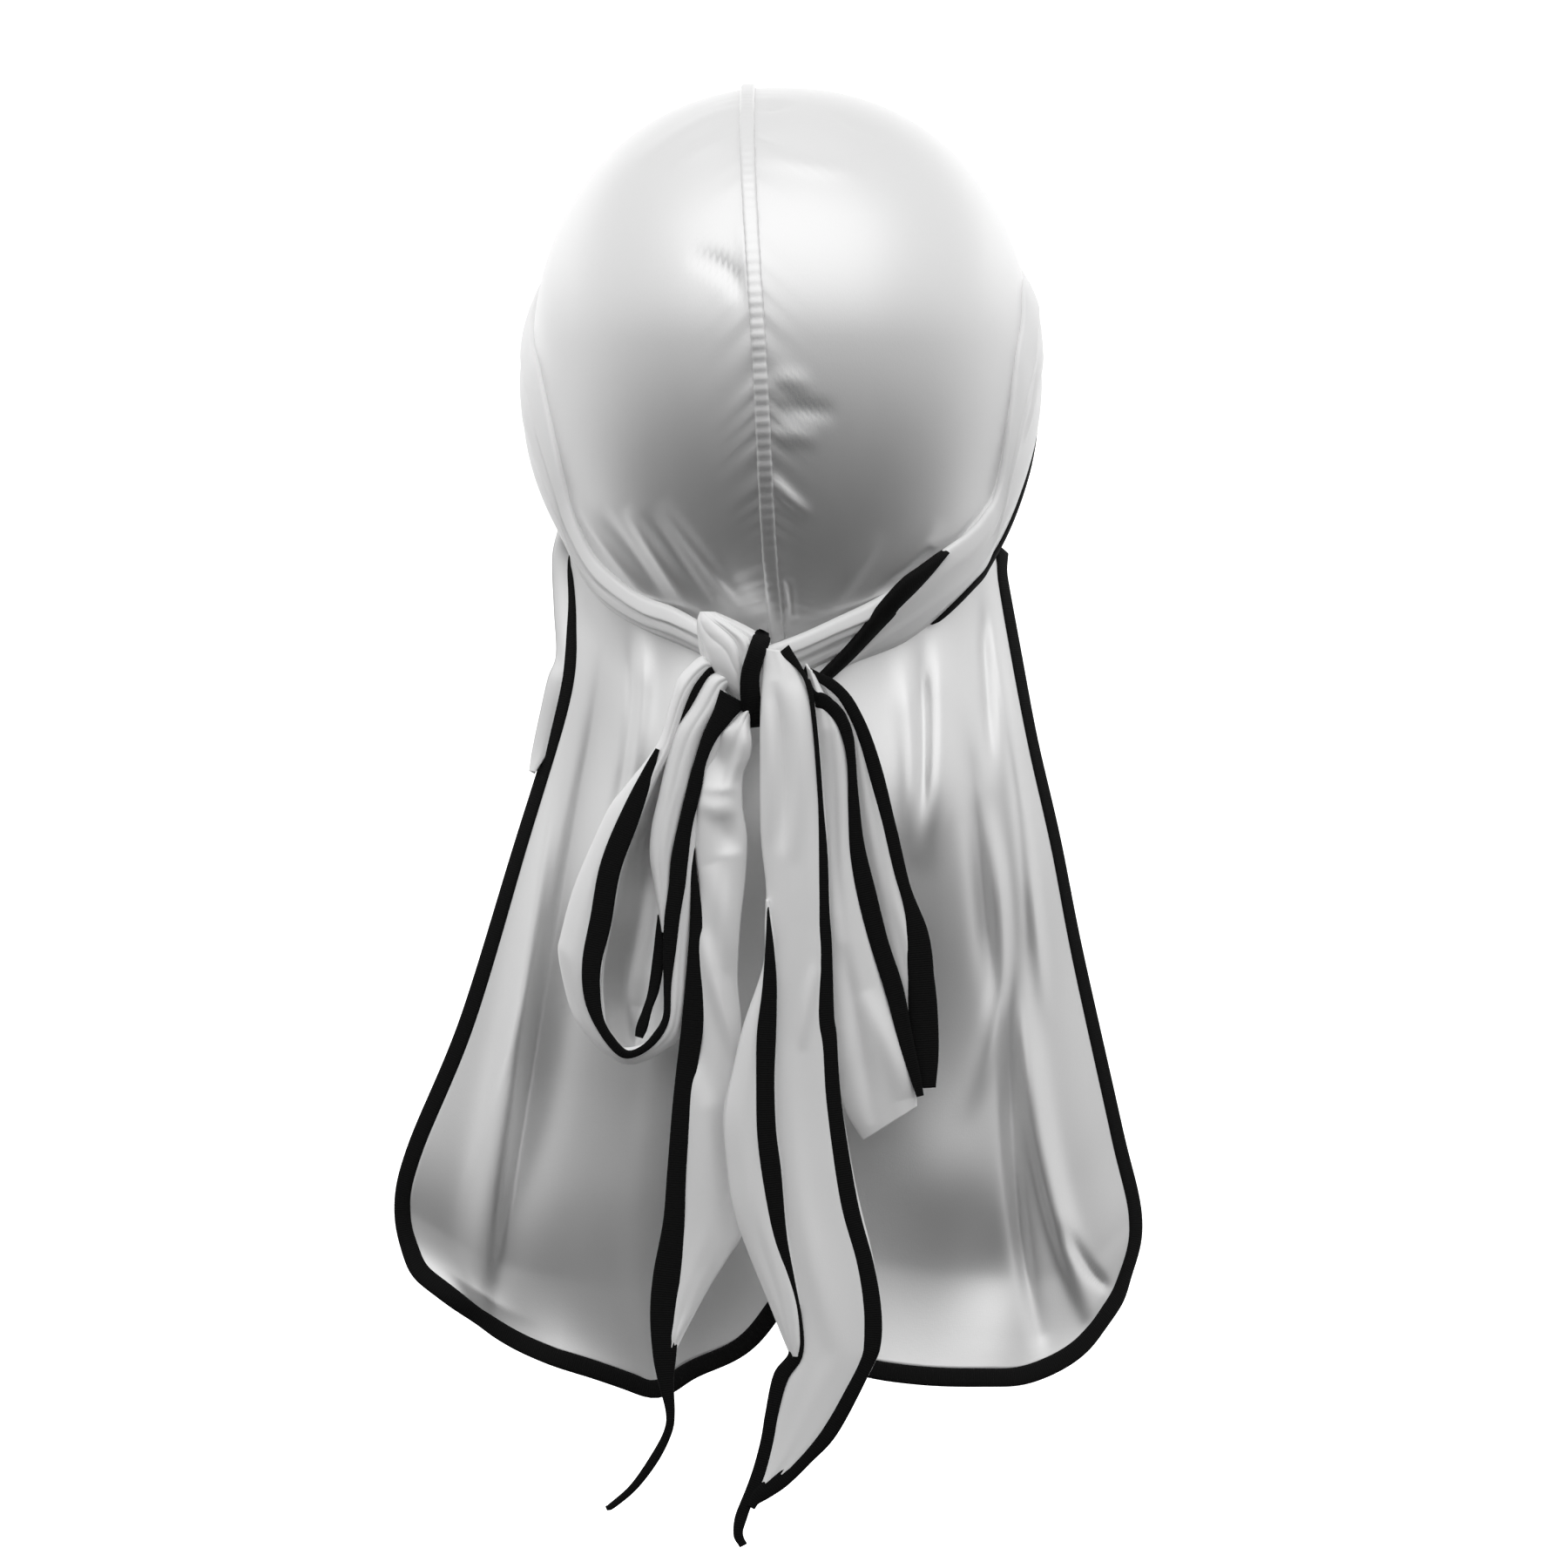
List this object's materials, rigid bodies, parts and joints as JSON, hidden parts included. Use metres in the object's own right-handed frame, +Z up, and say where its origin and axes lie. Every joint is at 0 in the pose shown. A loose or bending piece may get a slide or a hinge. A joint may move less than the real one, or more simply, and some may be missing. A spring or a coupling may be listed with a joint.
{
  "type": "durag",
  "caption": "Satin durag as worn: close cap with a raised centre seam, long lobed flap, straps crossed to a nape knot and tied in a bow with hanging tails, all edges taped.",
  "frame": {"origin": "the inside top of the crown, where the cap rests on the head", "axes": "+Z up, +Y towards the face side, so the knot and the flap are at -Y; +X to the wearer's right"},
  "size_m": [0.2351, 0.1898, 0.4571],
  "materials": {
    "satin": "white satin with a soft sheen",
    "edge_tape": "matte black binding tape"
  },
  "bodies": {
    "root": {"cap_left": "satin", "cap_right": "satin", "flap_left": "satin", "flap_right": "satin", "centre_seam": "satin", "front_binding": "edge_tape", "flap_binding_left": "edge_tape", "flap_binding_right": "edge_tape", "strap_left": "satin", "strap_right": "satin", "strap_right_binding": "edge_tape", "strap_right_fold": "satin", "strap_right_fold_binding": "edge_tape", "knot": "satin", "knot_binding": "edge_tape", "bow_loop_left": "satin", "bow_loop_left_front_binding": "edge_tape", "bow_loop_left_back_binding": "edge_tape", "bow_loop_right": "satin", "bow_loop_right_binding": "edge_tape", "tail_left": "satin", "tail_left_binding": "edge_tape", "tail_centre": "satin", "tail_centre_left_binding": "edge_tape", "tail_centre_right_binding": "edge_tape"}
  },
  "joints": []
}
